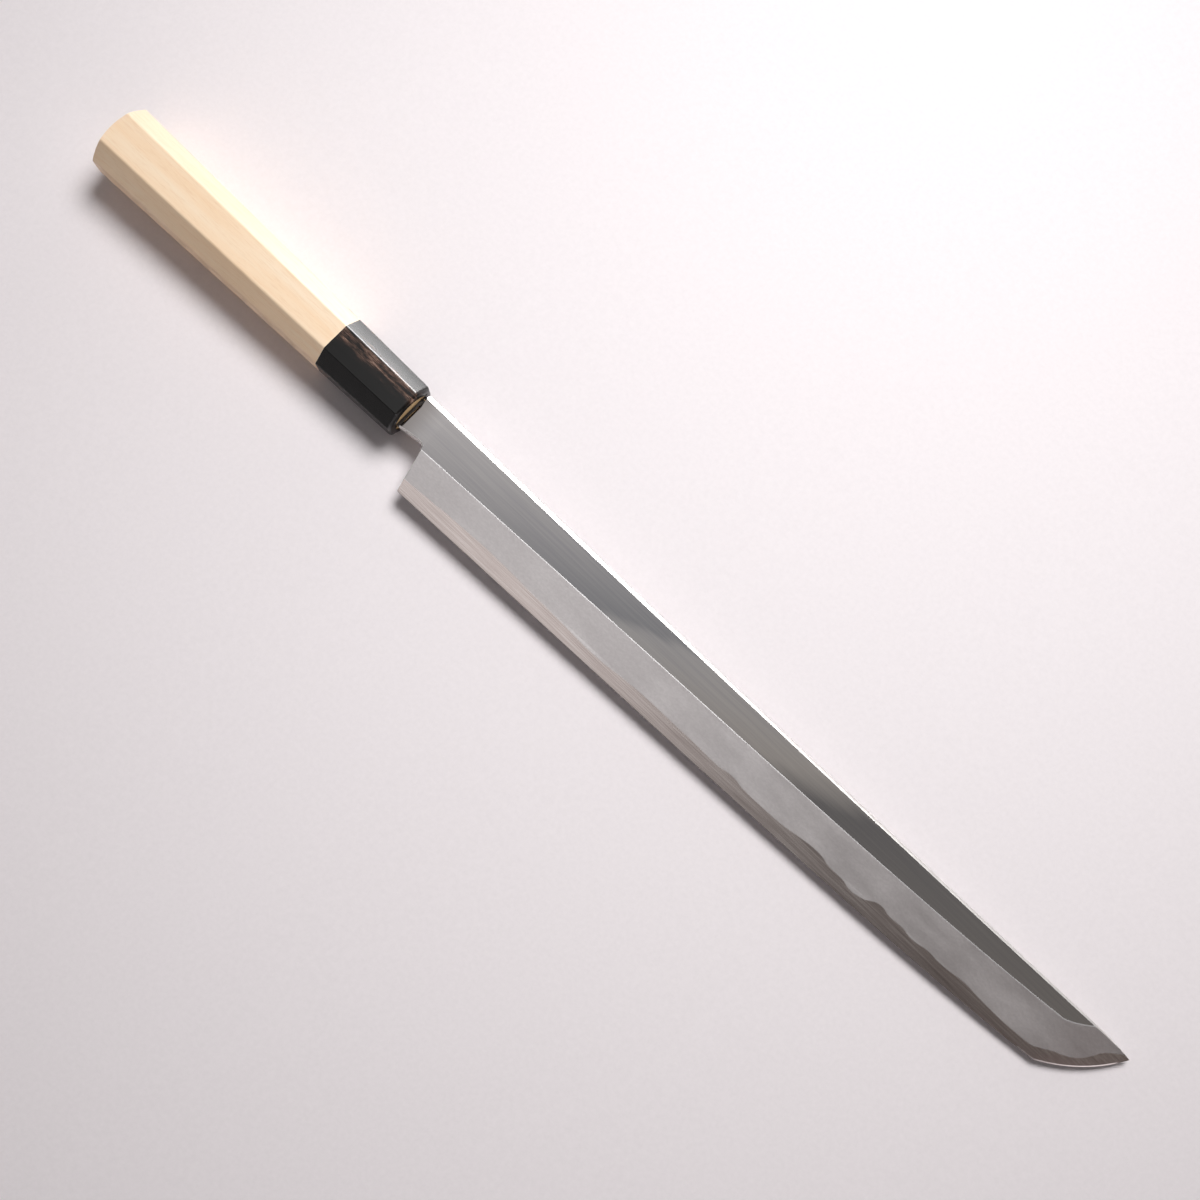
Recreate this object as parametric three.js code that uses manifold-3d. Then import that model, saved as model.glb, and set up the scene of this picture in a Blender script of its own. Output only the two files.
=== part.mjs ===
import * as THREE from 'three';
import { mergeVertices } from 'three/addons/utils/BufferGeometryUtils.js';
import Module from 'manifold-3d';

// A sakimaru takohiki: a long straight slicing knife, bevelled on one face, with a sword-like tip.
// It lies with the bevelled face up. Millimetres: +X from butt to tip, +Y from edge to spine, +Z up.
// While it is built, X is 0 at the front of the ferrule, and Y and Z are 0 on the handle's axis.

// Handle: an octagon that narrows towards the blade, with a domed butt
const HANDLE_LENGTH = 150;
const BUTT_WIDTH = 26.9;
const BUTT_HEIGHT = 24.2;
const BUTT_TOP_FACET = 13.6;
const BUTT_DOME_RADIUS = 32;
const FRONT_WIDTH = 20.9;
const FRONT_HEIGHT = 19.4;
const FRONT_TOP_FACET = 10.3;

// Ferrule, and the tenon of the grip that fills it
const FERRULE_LENGTH = 35.8;
const FERRULE_ROUNDING = 1.7;
const FERRULE_WALL = 2.1;
const TENON_RECESS = 0.4;
const TENON_CLEARANCE = 0.25;

// Tang, and the socket that it is driven into
const WOOD_BEHIND_TANG = 40;
const WOOD_AROUND_TANG = 0.5;
const TANG_STEP = 0.2;
const TANG_END_HEIGHT = 6;
const TANG_END_THICKNESS = 2.4;
const SOCKET_CLEARANCE = 0.3;
const SOCKET_SPARE_DEPTH = 1.5;

// Blade outline: its length runs from the shoulder in front of the ferrule to the tip
const BLADE_LENGTH = 330.6;
const SHOULDER_GAP = 0.8;
const SPINE_ABOVE_AXIS = 9.3;
const SPINE_SAG = 0.7;
const NECK_LENGTH = 11.4;
const NECK_HEIGHT = 14.8;
const NECK_CURVE = 3.4;
const HEEL_HEIGHT = 32.6;
const HEEL_SLANT = 3.6;
const EDGE_RISE = 5.45;
const EDGE_LIFT = 3.7;
const EDGE_LIFT_POWER = 6;

// Tip: the edge turns up to the spine, and the ridge line runs out to the spine before it
const TIP_LENGTH = 23.9;
const TIP_SLANT = 1.4;
const TIP_EDGE_BULGE = 2.33;
const TIP_DROP = 1.1;
const RIDGE_RUNOUT = 9;
const RIDGE_RUNOUT_BULGE = 0.42;

// Blade section
const SPINE_THICKNESS = 3.9;
const TIP_SPINE_THICKNESS = 1.7;
const BEVEL_WIDTH_AT_HEEL = 16.1;
const BEVEL_WIDTH_AT_TIP = 17.1;
const BEVEL_BOW = 0.45;
const EDGE_BEVEL_WIDTH = 0.45;
const EDGE_BEVEL_HEIGHT = 0.16;
const EDGE_BEVEL_LIMIT = 0.25;
const BACK_RIM = 1.4;
const BACK_RIM_LIMIT = 0.33;
const BACK_HOLLOW_SHARE = 0.4;

// Hard steel showing along the bevel, in millimetres up from the edge, from heel (0) to tip corner (1)
const STEEL_ALONG_EDGE = [
  [0, 5.1], [0.06, 5.2], [0.1, 6.1], [0.2, 5.7], [0.38, 5.2], [0.55, 4.8],
  [0.68, 4.9], [0.79, 5.7], [0.9, 5.2], [0.96, 3.6], [1, 3.8],
];
// The same line across the tip, as a share of the bevel there, up to where it leaves at the spine
const STEEL_ACROSS_TIP = [
  [0.06, 0.28], [0.15, 0.275], [0.34, 0.2], [0.43, 0.2], [0.55, 0.37], [0.7, 0.58], [0.81, 1],
];

// Fineness of the faceted surfaces
const EDGE_STEPS = 44;
const TIP_SPAN_STEPS = 8;
const NECK_CURVE_STEPS = 5;
const ROUNDING_STEPS = 4;
const DOME_STEPS = 24;
const CIRCLE_SIDES = 48;
const SPINE_STEPS_UNDER_SEAM = [0, 0.7, 1];
const SPINE_STEPS_OVER_SEAM = [0.5, 0.85, 1];
const SAME_POINT = 1e-4;

const mix = THREE.MathUtils.lerp;
const share = (value, from, to) => THREE.MathUtils.clamp((value - from) / (to - from), 0, 1);

// Skins a row of closed rings that run along +X, each with its lower side first and its upper side
// back again. Opposite points close the two ends, and quads split along their shorter diagonal.
function skin(rings) {
  const corners = [];
  function facet(a, b, c) {
    const shortest = Math.min(a.distanceTo(b), b.distanceTo(c), c.distanceTo(a));
    if (shortest > SAME_POINT) corners.push(...a, ...b, ...c);
  }
  function quad(a, b, c, d) {
    if (a.distanceTo(c) <= b.distanceTo(d)) {
      facet(a, b, c);
      facet(a, c, d);
    } else {
      facet(a, b, d);
      facet(b, c, d);
    }
  }
  const count = rings[0].length;
  for (let i = 0; i + 1 < rings.length; i++) {
    for (let j = 0; j < count; j++) {
      const next = (j + 1) % count;
      quad(rings[i][j], rings[i][next], rings[i + 1][next], rings[i + 1][j]);
    }
  }
  const first = rings[0];
  const last = rings[rings.length - 1];
  for (let j = 0; j < count / 2 - 1; j++) {
    quad(last[j], last[j + 1], last[count - 2 - j], last[count - 1 - j]);
    quad(first[count - 1 - j], first[count - 2 - j], first[j + 1], first[j]);
  }
  const geometry = new THREE.BufferGeometry();
  geometry.setAttribute('position', new THREE.Float32BufferAttribute(corners, 3));
  return mergeVertices(geometry, SAME_POINT);
}

// Boolean joins and cuts
const wasm = await Module();
wasm.setup();

function toSolid(geometry) {
  const bare = geometry.clone();
  bare.deleteAttribute('normal');
  bare.deleteAttribute('uv');
  const merged = mergeVertices(bare, SAME_POINT);
  const vertProperties = new Float32Array(merged.attributes.position.array);
  const triVerts = new Uint32Array(merged.index.array);
  return new wasm.Manifold(new wasm.Mesh({ numProp: 3, vertProperties, triVerts }));
}

function toGeometry(solid) {
  const { vertProperties, triVerts } = solid.getMesh();
  const geometry = new THREE.BufferGeometry();
  geometry.setAttribute('position', new THREE.BufferAttribute(vertProperties, 3));
  geometry.setIndex(new THREE.BufferAttribute(triVerts, 1));
  return geometry;
}

const knife = new THREE.Group();

function addPiece(name, geometry, finish) {
  geometry.computeVertexNormals();
  const piece = new THREE.Mesh(geometry, new THREE.MeshStandardMaterial(finish));
  piece.name = name;
  knife.add(piece);
}

// The handle's octagon at x, drawn in by inset on every side, with 45 degree corners
function handleRing(x, inset) {
  const along = share(x, -HANDLE_LENGTH, 0);
  const facetInset = inset * Math.tan(Math.PI / 8);
  const halfWidth = mix(BUTT_WIDTH, FRONT_WIDTH, along) / 2;
  const halfHeight = mix(BUTT_HEIGHT, FRONT_HEIGHT, along) / 2;
  const halfTop = mix(BUTT_TOP_FACET, FRONT_TOP_FACET, along) / 2;
  const wide = halfWidth - inset;
  const high = halfHeight - inset;
  const top = halfTop - facetInset;
  const side = halfHeight - halfWidth + halfTop - facetInset;
  return [
    [-wide, -side], [-top, -high], [top, -high], [wide, -side],
    [wide, side], [top, high], [-top, high], [-wide, side],
  ].map(([y, z]) => new THREE.Vector3(x, y, z));
}

function circleRing(x, radius) {
  return Array.from({ length: CIRCLE_SIDES }, (_, i) => {
    const angle = (2 * Math.PI * (i + 0.5)) / CIRCLE_SIDES;
    return new THREE.Vector3(x, -radius * Math.cos(angle), -radius * Math.sin(angle));
  });
}

function cylinderAlongX(radius, from, to) {
  return skin([circleRing(from, radius), circleRing(to, radius)]);
}

// Evenly spaced angles from 0 to a quarter turn
function quarterTurn(steps) {
  return Array.from({ length: steps + 1 }, (_, i) => (Math.PI / 2) * (i / steps));
}

// Tang: a flat taper on the handle's axis, as wide at the mouth as the tenon's wood allows
const tenonRadius = FRONT_HEIGHT / 2 - FERRULE_WALL;
const tangLength = HANDLE_LENGTH - WOOD_BEHIND_TANG;
const tangThickness = SPINE_THICKNESS - 2 * TANG_STEP;
const slotHalfThickness = tangThickness / 2 + SOCKET_CLEARANCE;
const slotHalfHeight = Math.sqrt((tenonRadius - WOOD_AROUND_TANG) ** 2 - slotHalfThickness ** 2);
const tangHalfHeight = slotHalfHeight - SOCKET_CLEARANCE;

function tangSize(x) {
  const back = -x / tangLength;
  return {
    halfHeight: mix(tangHalfHeight, TANG_END_HEIGHT / 2, back),
    halfThickness: mix(tangThickness, TANG_END_THICKNESS, back) / 2,
  };
}

function socketRing(x) {
  const { halfHeight, halfThickness } = tangSize(x);
  const high = halfHeight + SOCKET_CLEARANCE;
  const thick = halfThickness + SOCKET_CLEARANCE;
  return [[-high, -thick], [high, -thick], [high, thick], [-high, thick]]
    .map(([y, z]) => new THREE.Vector3(x, y, z));
}

// Grip: the octagon inside a dome, with a round tenon on its front and the tang's socket through both
const octagon = skin([handleRing(-HANDLE_LENGTH, 0), handleRing(-FERRULE_LENGTH, 0)]);
const domeRings = quarterTurn(DOME_STEPS).map((angle) => circleRing(
  BUTT_DOME_RADIUS * (1 - Math.cos(angle)) - HANDLE_LENGTH,
  BUTT_DOME_RADIUS * Math.sin(angle),
));
const dome = skin([...domeRings, circleRing(0, BUTT_DOME_RADIUS)]);
const tenonRoot = -FERRULE_LENGTH - FERRULE_WALL;
const tenon = cylinderAlongX(tenonRadius, tenonRoot, -TENON_RECESS);
const socket = skin([socketRing(-tangLength - SOCKET_SPARE_DEPTH), socketRing(SHOULDER_GAP)]);
const domedOctagon = toSolid(octagon).intersect(toSolid(dome));
const grip = domedOctagon.add(toSolid(tenon)).subtract(toSolid(socket));
addPiece('handle_grip', toGeometry(grip), { color: 0xe9d3b4, roughness: 0.6, metalness: 0 });

// Ferrule: a horn sleeve over the tenon, its front rolled over
const frontRings = quarterTurn(ROUNDING_STEPS).map((angle) => handleRing(
  FERRULE_ROUNDING * (Math.sin(angle) - 1),
  FERRULE_ROUNDING * (1 - Math.cos(angle)),
));
const sleeve = skin([handleRing(-FERRULE_LENGTH, 0), ...frontRings]);
const boreRadius = tenonRadius + TENON_CLEARANCE;
const bore = cylinderAlongX(boreRadius, -FERRULE_LENGTH - FERRULE_WALL, FERRULE_WALL);
const ferrule = toSolid(sleeve).subtract(toSolid(bore));
addPiece('horn_ferrule', toGeometry(ferrule), { color: 0x2a2725, roughness: 0.22, metalness: 0 });

// Blade outline. Each curve is a place in plan (x, y), for a station from 0 to 1 along the blade.
const backZ = -SPINE_THICKNESS / 2;
const heelX = SHOULDER_GAP + NECK_LENGTH;
const tipX = SHOULDER_GAP + BLADE_LENGTH;
const cornerX = tipX - TIP_LENGTH;
const ridgeCornerX = cornerX - TIP_SLANT;
const runoutX = ridgeCornerX + RIDGE_RUNOUT;
const runoutAt = share(runoutX, ridgeCornerX, tipX);

const plan = (x, y) => new THREE.Vector2(x, y);

// Rises from 0 to 1 at the middle of a run and falls back
const hump = (along) => 4 * along * (1 - along);

function spinePoint(x) {
  const fromMiddle = (2 * x - heelX - tipX) / (tipX - heelX);
  const sag = SPINE_SAG * (1 - fromMiddle ** 2);
  const drop = TIP_DROP * share(x, runoutX, tipX) ** 2;
  return plan(x, SPINE_ABOVE_AXIS - sag - drop);
}

function edgePoint(along) {
  const rise = EDGE_RISE * along + EDGE_LIFT * along ** EDGE_LIFT_POWER;
  return plan(mix(heelX + HEEL_SLANT, cornerX, along), SPINE_ABOVE_AXIS - HEEL_HEIGHT + rise);
}

function ridgePoint(along) {
  const width = mix(BEVEL_WIDTH_AT_HEEL, BEVEL_WIDTH_AT_TIP, along) + BEVEL_BOW * hump(along);
  return plan(mix(heelX, ridgeCornerX, along), edgePoint(along).y + width);
}

// A shallow bow from one point to another, bulging to the right of its run
function bow(from, to, bulge, along) {
  const run = to.clone().sub(from);
  const aside = plan(run.y, -run.x).setLength(bulge * hump(along));
  return from.clone().lerp(to, along).add(aside);
}

const thicknessAt = (x) => mix(SPINE_THICKNESS, TIP_SPINE_THICKNESS, share(x, heelX, runoutX));

const steelAlongEdge = new THREE.SplineCurve(STEEL_ALONG_EDGE.map(([at, up]) => plan(at, up)));
const steelAtCorner = STEEL_ALONG_EDGE[STEEL_ALONG_EDGE.length - 1][1] / BEVEL_WIDTH_AT_TIP;
const steelAcrossTip = new THREE.SplineCurve(
  [[0, steelAtCorner], ...STEEL_ACROSS_TIP].map(([at, up]) => plan(at, up)),
);
const steelLeavesAt = STEEL_ACROSS_TIP[STEEL_ACROSS_TIP.length - 1][0];

// Height of a steel line at a place between its first and last points
function heightOn(curve, at) {
  let low = 0;
  let high = 1;
  while (high - low > SAME_POINT) {
    const middle = (low + high) / 2;
    if (curve.getPoint(middle).x < at) low = middle;
    else high = middle;
  }
  return curve.getPoint(high).y;
}

// The spine's roll-over, from its flat shoulder (out = 0) to its crest (out = 1), in two quarter ellipses
function spineColumn(cut, out) {
  const fall = 1 - Math.sqrt(1 - out ** 2);
  return {
    place: cut.shoulder.clone().lerp(cut.spine, out),
    top: mix(cut.topZ, cut.crestZ, fall),
    bottom: mix(cut.bottomZ, cut.crestZ, fall),
  };
}

// How far out on the roll-over the seam comes to the surface
const seamOut = (cut) => Math.sqrt(1 - ((cut.crestZ - cut.seamZ) / (cut.crestZ - cut.bottomZ)) ** 2);

function spineUnderSeam(cut) {
  return SPINE_STEPS_UNDER_SEAM.map((part) => spineColumn(cut, part * seamOut(cut)));
}
function spineOverSeam(cut) {
  return SPINE_STEPS_OVER_SEAM.map((part) => spineColumn(cut, mix(seamOut(cut), 1, part)));
}

// Closed ring through columns that run from the edge side to the spine
function ringOf(columns) {
  const at = (place, z) => new THREE.Vector3(place.x, place.y, z);
  const lower = columns.map(({ place, bottom }) => at(place, bottom));
  const upper = columns.map(({ place, top }) => at(place, top));
  return [...lower, ...upper.reverse()];
}

// One cut across the blade: the hard steel lies under the seam, and the soft iron over it
function bladeRings({ edge, ridge, spine, inward, thickness, steelShare, hollowShare }) {
  const topZ = backZ + thickness;
  const width = edge.distanceTo(ridge);
  const edgeBevel = Math.min(EDGE_BEVEL_WIDTH, width * EDGE_BEVEL_LIMIT);
  const edgeBevelHeight = Math.min(EDGE_BEVEL_HEIGHT, thickness * EDGE_BEVEL_LIMIT);
  const rim = Math.min(BACK_RIM, width * BACK_RIM_LIMIT);
  const bevelZ = (up) => backZ + mix(edgeBevelHeight, thickness, share(up, edgeBevel, width));
  const seamZ = bevelZ(steelShare * width);

  const shoulder = spine.clone().addScaledVector(inward, thickness / 2);
  const crestZ = Math.max(backZ + thickness / 2, seamZ);
  const cut = { spine, shoulder, topZ, bottomZ: backZ, crestZ, seamZ };
  const flatWidth = ridge.distanceTo(shoulder);
  const middle = ridge.clone().lerp(shoulder, 0.5);

  function backAt(up) {
    const across = share(up, rim, width + flatWidth);
    return backZ + hollowShare * (seamZ - backZ) * hump(across);
  }
  function onBevel(up) {
    return { place: edge.clone().lerp(ridge, up / width), top: bevelZ(up), bottom: backAt(up) };
  }
  const seamLine = onBevel(steelShare * width);
  const onFlat = [
    { place: ridge, top: topZ, bottom: backAt(width) },
    { place: middle, top: topZ, bottom: backAt(width + flatWidth / 2) },
  ];
  const sharedColumns = [...onFlat, ...spineUnderSeam(cut)];
  const steelColumns = [
    { place: edge, top: backZ, bottom: backZ },
    onBevel(edgeBevel),
    onBevel(rim),
    seamLine,
    ...sharedColumns.map((column) => ({ ...column, top: seamZ })),
  ];
  const ironColumns = [
    { ...seamLine, bottom: seamZ },
    ...sharedColumns.map((column) => ({ ...column, bottom: seamZ })),
    ...spineOverSeam(cut),
  ];
  return { steel: ringOf(steelColumns), iron: ringOf(ironColumns), seamZ };
}

// Cuts from the heel to the tip's corner
const square = plan(0, -1);
const bladeCuts = [];
for (let i = 0; i <= EDGE_STEPS; i++) {
  const along = i / EDGE_STEPS;
  const edge = edgePoint(along);
  const ridge = ridgePoint(along);
  bladeCuts.push(bladeRings({
    edge,
    ridge,
    spine: spinePoint(ridge.x),
    inward: square,
    thickness: thicknessAt(ridge.x),
    steelShare: heightOn(steelAlongEdge, along) / edge.distanceTo(ridge),
    hollowShare: BACK_HOLLOW_SHARE * Math.sin(Math.PI * along),
  }));
}

// Cuts round the tip, fanned between the spine and the upturned edge
const tip = spinePoint(tipX);
const runoutSpine = spinePoint(runoutX);
const runoutInward = bow(edgePoint(1), tip, TIP_EDGE_BULGE, runoutAt).sub(runoutSpine).normalize();
const runoutEnd = runoutSpine.clone().addScaledVector(runoutInward, TIP_SPINE_THICKNESS / 2);

function tipCut(along) {
  const spine = spinePoint(mix(ridgeCornerX, tipX, along));
  const edge = bow(edgePoint(1), tip, TIP_EDGE_BULGE, along);
  const inward = edge.clone().sub(spine).normalize();
  const thickness = thicknessAt(spine.x) * (1 - share(along, runoutAt, 1));
  const shoulder = spine.clone().addScaledVector(inward, thickness / 2);
  const onRunout = bow(ridgePoint(1), runoutEnd, RIDGE_RUNOUT_BULGE, share(along, 0, runoutAt));
  return bladeRings({
    edge,
    ridge: along < runoutAt ? onRunout : shoulder,
    spine,
    inward,
    thickness,
    steelShare: along < steelLeavesAt ? heightOn(steelAcrossTip, along) : 1,
    hollowShare: 0,
  });
}

function tipSpan(from, to) {
  return Array.from({ length: TIP_SPAN_STEPS }, (_, i) => tipCut(mix(from, to, (i + 1) / TIP_SPAN_STEPS)));
}
const ironTipCuts = [...tipSpan(0, runoutAt), ...tipSpan(runoutAt, steelLeavesAt)];
const steelTipCuts = tipSpan(steelLeavesAt, 1).slice(0, -1);
const tipPoint = new THREE.Vector3(tip.x, tip.y, backZ);
const tipRing = bladeCuts[0].steel.map(() => tipPoint);

// Hard steel: a layer along the back, ground to the edge and slightly hollow behind
const steelCuts = [...bladeCuts, ...ironTipCuts, ...steelTipCuts];
const steel = skin([...steelCuts.map((cut) => cut.steel), tipRing]);
addPiece('edge_steel', steel, { color: 0xb0aaa6, roughness: 0.24, metalness: 1 });

// Neck and tang: full thickness, with the heel's seam height marked where the steel layer begins
const heelSeamZ = bladeCuts[0].seamZ;
function neckRing({ low, spine, halfThickness, lowBottom = halfThickness }) {
  const shoulder = spine.clone().addScaledVector(square, halfThickness);
  const seamZ = heelSeamZ * (halfThickness / -backZ);
  const cut = { spine, shoulder, topZ: halfThickness, bottomZ: -halfThickness, crestZ: 0, seamZ };
  const flat = { top: halfThickness, bottom: -halfThickness };
  return ringOf([
    { place: low, top: halfThickness, bottom: lowBottom },
    { ...flat, place: low },
    { ...flat, place: low.clone().lerp(shoulder, 0.5) },
    ...spineUnderSeam(cut),
    ...spineOverSeam(cut),
  ]);
}

function tangRing(x) {
  const { halfHeight, halfThickness } = tangSize(x);
  return neckRing({ low: plan(x, -halfHeight), spine: plan(x, halfHeight), halfThickness });
}

const heelTop = ridgePoint(0);
const neckY = SPINE_ABOVE_AXIS - NECK_HEIGHT;
const heelLine = edgePoint(0).sub(heelTop);
const neckCorner = plan(heelTop.x + heelLine.x * ((neckY - heelTop.y) / heelLine.y), neckY);
const neckCurve = new THREE.QuadraticBezierCurve(plan(heelX - NECK_CURVE, neckY), neckCorner, heelTop);
const neckRoot = plan(SHOULDER_GAP, -tangSize(SHOULDER_GAP).halfHeight - TANG_STEP);
const neckRings = [neckRoot, ...neckCurve.getPoints(NECK_CURVE_STEPS)].map((low) => neckRing({
  low,
  spine: spinePoint(low.x),
  halfThickness: -backZ,
  lowBottom: low.equals(heelTop) ? heelSeamZ : -backZ,
}));

// Soft iron: the blade's upper layer, forged in one with the neck and the tang
const iron = skin([
  tangRing(-tangLength),
  tangRing(SHOULDER_GAP),
  ...neckRings,
  ...bladeCuts.map((cut) => cut.iron),
  ...ironTipCuts.map((cut) => cut.iron),
]);
addPiece('blade_iron', iron, { color: 0x9a9795, roughness: 0.3, metalness: 1 });

// Stand the knife's box on Z = 0, centred on the origin
const box = new THREE.Box3().setFromObject(knife);
const centre = box.getCenter(new THREE.Vector3());
knife.position.set(-centre.x, -centre.y, -box.min.z);

export default knife;
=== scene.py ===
from math import radians

import bmesh
import bpy
from mathutils import Matrix, Vector


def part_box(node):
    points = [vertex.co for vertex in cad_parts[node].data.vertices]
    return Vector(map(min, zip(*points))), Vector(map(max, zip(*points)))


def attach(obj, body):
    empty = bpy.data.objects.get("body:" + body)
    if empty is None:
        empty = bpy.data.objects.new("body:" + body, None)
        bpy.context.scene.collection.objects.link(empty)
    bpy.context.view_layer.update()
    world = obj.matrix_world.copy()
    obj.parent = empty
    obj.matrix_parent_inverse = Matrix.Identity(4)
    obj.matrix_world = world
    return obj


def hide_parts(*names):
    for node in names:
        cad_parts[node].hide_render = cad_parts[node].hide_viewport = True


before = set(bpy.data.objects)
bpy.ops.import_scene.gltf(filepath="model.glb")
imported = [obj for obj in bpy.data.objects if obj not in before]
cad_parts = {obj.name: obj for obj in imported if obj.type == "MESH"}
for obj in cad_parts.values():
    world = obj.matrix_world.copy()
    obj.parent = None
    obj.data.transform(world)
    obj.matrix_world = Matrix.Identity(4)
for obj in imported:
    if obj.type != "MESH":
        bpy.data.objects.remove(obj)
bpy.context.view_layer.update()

# The blade's iron: a bar of soft iron forged on to the edge steel, with a thin neck and a tang.
# Its flat side is polished on fine stones, the long bevel below the ridge is left hazy,
# and the spine and the neck are rounded and buffed by hand.
MM = 0.001
WELD = 0.002 * MM
SAME_PLANE = radians(1.5)
ANY_SHAPE = radians(180)


def copy_of(node, name):
    """Copies a CAD piece into a piece of its own, with its loose triangles welded."""
    bpy.ops.object.select_all(action="DESELECT")
    piece = bpy.data.objects.new(name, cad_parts[node].data.copy())
    bpy.context.scene.collection.objects.link(piece)
    bpy.context.view_layer.objects.active = piece
    piece.select_set(True)
    piece.data.materials.clear()
    bpy.ops.object.mode_set(mode="EDIT")
    bpy.ops.mesh.select_all(action="SELECT")
    bpy.ops.mesh.customdata_custom_splitnormals_clear()
    bpy.ops.mesh.remove_doubles(threshold=WELD)
    bpy.ops.mesh.tris_convert_to_quads(face_threshold=SAME_PLANE, shape_threshold=ANY_SHAPE)
    bpy.ops.object.mode_set(mode="OBJECT")
    return piece


def bevel_edges(piece, wanted, width, segments, material=-1):
    """Bevels the edges whose two faces pass the test, and cleans up where bevels meet."""
    bpy.ops.object.mode_set(mode="EDIT")
    bpy.ops.mesh.select_mode(type="EDGE")
    bpy.ops.mesh.select_all(action="DESELECT")
    mesh = bmesh.from_edit_mesh(piece.data)
    for edge in mesh.edges:
        if len(edge.link_faces) == 2 and wanted(*edge.link_faces):
            edge.select_set(True)
    bmesh.update_edit_mesh(piece.data)
    bpy.ops.mesh.bevel(offset=width, segments=segments, affect="EDGES", material=material)
    bpy.ops.mesh.select_all(action="SELECT")
    bpy.ops.mesh.remove_doubles(threshold=WELD)
    bpy.ops.mesh.dissolve_degenerate(threshold=WELD)
    bpy.ops.object.mode_set(mode="OBJECT")


def shade(piece, crease):
    """Smooths the shading, but not across creases or from one finish to another."""
    bpy.ops.object.shade_smooth_by_angle(angle=crease)
    bpy.ops.object.mode_set(mode="EDIT")
    mesh = bmesh.from_edit_mesh(piece.data)
    for edge in mesh.edges:
        if len({face.material_index for face in edge.link_faces}) > 1:
            edge.smooth = False
    bmesh.update_edit_mesh(piece.data)
    bpy.ops.object.mode_set(mode="OBJECT")


def linear(code):
    """An sRGB hex colour as linear red, green, blue and alpha."""
    parts = [int(code[at:at + 2], 16) / 255 for at in (1, 3, 5)]
    return [c / 12.92 if c <= 0.04045 else ((c + 0.055) / 1.055) ** 2.4 for c in parts] + [1.0]


def add(tree, kind, links=None, stops=(), **settings):
    """Adds a node with its settings, links or values of its inputs, and colour stops."""
    node = tree.nodes.new("ShaderNode" + kind)
    for name, value in settings.items():
        setattr(node, name, value)
    for socket, value in (links or {}).items():
        if isinstance(value, bpy.types.NodeSocket):
            tree.links.new(value, node.inputs[socket])
        else:
            node.inputs[socket].default_value = value
    for _ in stops[2:]:
        node.color_ramp.elements.new(1.0)
    for number, (place, colour) in enumerate(stops):
        node.color_ramp.elements[number].position = place
        node.color_ramp.elements[number].color = linear(colour)
    return node


def cells(along, across, up):
    """A Mapping scale that makes one pattern cell that many millimetres in size."""
    return (1 / (along * MM), 1 / (across * MM), 1 / (up * MM))


def new_finish(name, **constants):
    """A material with its shader, its node tree and the piece's own coordinates."""
    finish = bpy.data.materials.new(name)
    finish.use_nodes = True
    tree = finish.node_tree
    shader = tree.nodes["Principled BSDF"]
    for socket, value in constants.items():
        shader.inputs[socket.replace("_", " ")].default_value = value
    return finish, tree, shader, add(tree, "TexCoord").outputs["Object"]


# Stone-polished iron: close to a mirror, drawn out lengthwise by the strokes on the stone, so
# reflections smear along the blade. The lines are finer than a pixel and are drawn 0.9 mm apart.
# Close to the ferrule the iron is painted darker, as painted shade from the ferrule.
PAINTED_SHADE_UNTIL, UNSHADED_FROM = -91 * MM, -80 * MM

flat_iron, tree, shader, place = new_finish("stone_polished_iron", Metallic=1.0)
strokes = add(tree, "TexNoise", {
    "Vector": add(tree, "Mapping", {"Vector": place, "Scale": cells(45, 0.9, 0.9)}).outputs[0],
    "Scale": 1.0, "Detail": 3.0, "Roughness": 0.6})
waves = add(tree, "TexNoise", {
    "Vector": add(tree, "Mapping", {"Vector": place, "Scale": cells(26, 6, 6)}).outputs[0],
    "Scale": 1.0, "Detail": 1.0})
tone = add(tree, "ValToRGB", {"Fac": strokes.outputs["Fac"]},
           stops=((0.3, "#C3C1C2"), (0.5, "#C9C7C6"), (0.7, "#CFCDCB")))
spread = add(tree, "SeparateXYZ", {"Vector": place})
# Painted shade: the tone darkens towards the ferrule.
past_painted_shade = add(tree, "MapRange", {"Value": spread.outputs["X"], "From Min": PAINTED_SHADE_UNTIL,
                                 "From Max": UNSHADED_FROM}, interpolation_type="SMOOTHSTEP")
tone = add(tree, "Mix", {"Factor": past_painted_shade.outputs["Result"], "A": linear("#A8A3A0"),
                         "B": tone.outputs["Color"]}, data_type="RGBA")
tree.links.new(tone.outputs["Result"], shader.inputs["Base Color"])
gloss = add(tree, "MapRange", {"Value": strokes.outputs["Fac"], "To Min": 0.015, "To Max": 0.03})
tree.links.new(gloss.outputs["Result"], shader.inputs["Roughness"])
wavy = add(tree, "Bump", {"Height": waves.outputs["Fac"], "Strength": 0.07, "Distance": 0.1 * MM})
lined = add(tree, "Bump", {"Height": strokes.outputs["Fac"], "Normal": wavy.outputs["Normal"],
                           "Strength": 0.08, "Distance": 0.004 * MM})
tree.links.new(lined.outputs["Normal"], shader.inputs["Normal"])

# Stone-hazed iron and steel, on the bevel: rubbed with soft stone mud, the iron takes a milky satin
# with faint clouds. The harder steel below stays clear and dark, with lines along the edge that are
# finer than a pixel and are drawn 0.45 mm apart. The line between the two, here in millimetres
# along and across the blade, is wavy because it was forged, and more feathered near the heel.
FORGED_LINE = (
    (-84, -13.6), (-71, -13.2), (-52, -12.0), (-33, -11.5), (-23, -11.7), (-3, -11.9), (15, -12.5),
    (30, -11.3), (41, -10.8), (60, -10.6), (72, -10.7), (80, -9.9), (84, -10.5), (92, -10.6),
    (102, -10.2), (110, -9.2), (118, -8.5), (124, -9.5), (130, -9.5), (134, -10.3), (138, -9.9),
    (142, -8.3), (146, -6.9), (150, -7.6), (156, -7.3), (160, -8.0), (168, -7.1), (172, -7.4),
    (184, -6.4), (190, -6.7), (200, -6.9), (208, -6.6), (212, -6.3), (216, -4.7), (220, -2.5),
    (224, -0.8), (227, 1.2), (230, 4.6), (232, 8.0), (234, 10.1), (242, 15.5))
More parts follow.
